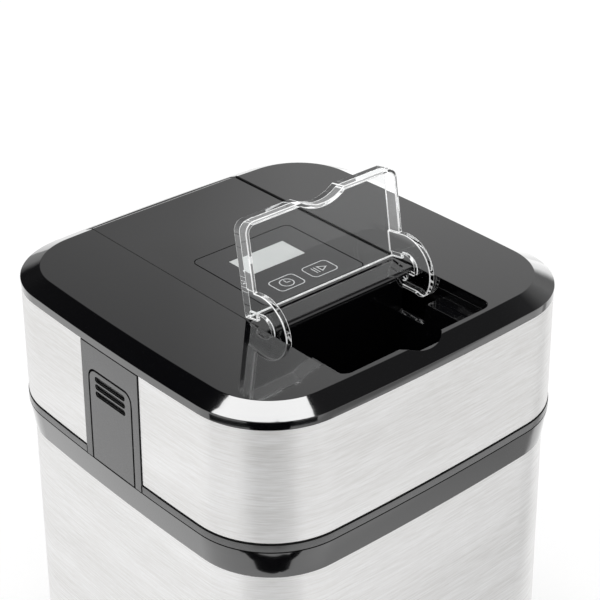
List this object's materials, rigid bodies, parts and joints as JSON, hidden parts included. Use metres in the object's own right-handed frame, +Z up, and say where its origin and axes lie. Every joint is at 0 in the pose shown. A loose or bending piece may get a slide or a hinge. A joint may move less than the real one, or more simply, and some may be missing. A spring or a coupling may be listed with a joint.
{
  "type": "frozen yogurt maker",
  "caption": "Square countertop frozen yogurt maker with a lift-off motor head, clear flip-up fill flap, side release latches, freezer bowl and geared mixing paddle.",
  "frame": {"origin": "centre of the footprint on the plane the feet rest on", "axes": "+Z up, -Y the front with the fill opening, +X the user's right when facing the front"},
  "size_m": [0.2138, 0.2138, 0.286],
  "materials": {
    "steel": "fine horizontal brushing",
    "screw_steel": "plain",
    "aluminium": "satin",
    "brass": "plain",
    "motor_can": "zinc plated",
    "black_gloss": "high gloss",
    "black_satin": "satin",
    "black_matte": "fine grain",
    "grey_plastic": "satin",
    "white_plastic": "satin",
    "coolant": "gel",
    "clear_plastic": "clear, polished",
    "film": "printed film",
    "screen": "blank display",
    "board": "circuit board",
    "nylon": "moulded",
    "rubber": "matte"
  },
  "bodies": {
    "base": {"base_pan": "black_matte", "rubber_feet": "rubber", "base_screws": "screw_steel", "housing_wrap": "steel", "bowl_well": "grey_plastic", "rim_ring": "black_gloss"},
    "bowl": {"bowl_outer": "white_plastic", "coolant_gel": "coolant", "bowl_inner_shell": "aluminium", "bowl_rim": "white_plastic"},
    "paddle": {"mixing_paddle": "clear_plastic"},
    "head": {"head_frame": "black_satin", "front_band": "steel", "rear_band": "steel", "top_cover": "black_gloss", "head_floor": "grey_plastic", "bowl_gasket": "rubber", "floor_screws": "screw_steel", "control_fascia": "black_gloss", "display_film": "film", "lcd_module": "screen", "touch_pads": "brass", "control_board": "board", "fill_chute": "black_gloss", "gear_cover": "grey_plastic", "idler_pin": "screw_steel", "drive_motor": "motor_can", "motor_screws": "screw_steel", "power_board": "board", "cord_gland": "rubber", "latch_pins": "screw_steel", "latch_spring_left": "screw_steel", "latch_spring_right": "screw_steel"},
    "output": {"output_shaft": "nylon", "output_gear": "nylon"},
    "idler": {"idler_gear": "nylon"},
    "motor_rotor": {"motor_pinion": "brass"},
    "flap": {"flap_lid": "clear_plastic"},
    "left_latch": {"latch_left": "black_satin"},
    "right_latch": {"latch_right": "black_satin"}
  },
  "joints": [
    {"name": "head_lift", "type": "slide", "parent": "base", "child": "head", "axis": [0, 0, 1], "range_m": [0, 0.3]},
    {"name": "bowl_lift", "type": "slide", "parent": "base", "child": "bowl", "axis": [0, 0, 1], "range_m": [0, 0.15]},
    {"name": "paddle_spin", "type": "hinge", "parent": "bowl", "child": "paddle", "pos_m": [0, 0, 0.039], "axis": [0, 0, 1], "continuous": true},
    {"name": "output_spin", "type": "hinge", "parent": "head", "child": "output", "pos_m": [0, 0, 0.176], "axis": [0, 0, 1], "continuous": true},
    {"name": "idler_spin", "type": "hinge", "parent": "head", "child": "idler", "pos_m": [0, 0.027, 0.178], "axis": [0, 0, 1], "continuous": true},
    {"name": "motor_spin", "type": "hinge", "parent": "head", "child": "motor_rotor", "pos_m": [0, 0.052, 0.198], "axis": [0, 0, 1], "continuous": true},
    {"name": "flap_hinge", "type": "hinge", "parent": "head", "child": "flap", "pos_m": [0, -0.035, 0.23], "axis": [1, 0, 0], "range_deg": [0, 99.2]},
    {"name": "left_latch_press", "type": "hinge", "parent": "head", "child": "left_latch", "pos_m": [-0.09992, 0, 0.188], "axis": [0, 1, 0], "range_deg": [0, 4], "stiffness_Nm_per_rad": 0.4, "springref_deg": -2.86, "deforming": ["latch_spring_left"]},
    {"name": "right_latch_press", "type": "hinge", "parent": "head", "child": "right_latch", "pos_m": [0.09992, 0, 0.188], "axis": [0, -1, 0], "range_deg": [0, 4], "stiffness_Nm_per_rad": 0.4, "springref_deg": -2.86, "deforming": ["latch_spring_right"]}
  ],
  "couplings": [
    {"joint": "bowl_lift", "follows": "head_lift", "ratio": 0.5},
    {"joint": "output_spin", "follows": "paddle_spin", "ratio": 1},
    {"joint": "idler_spin", "follows": "paddle_spin", "ratio": -3.5},
    {"joint": "motor_spin", "follows": "paddle_spin", "ratio": 14}
  ]
}
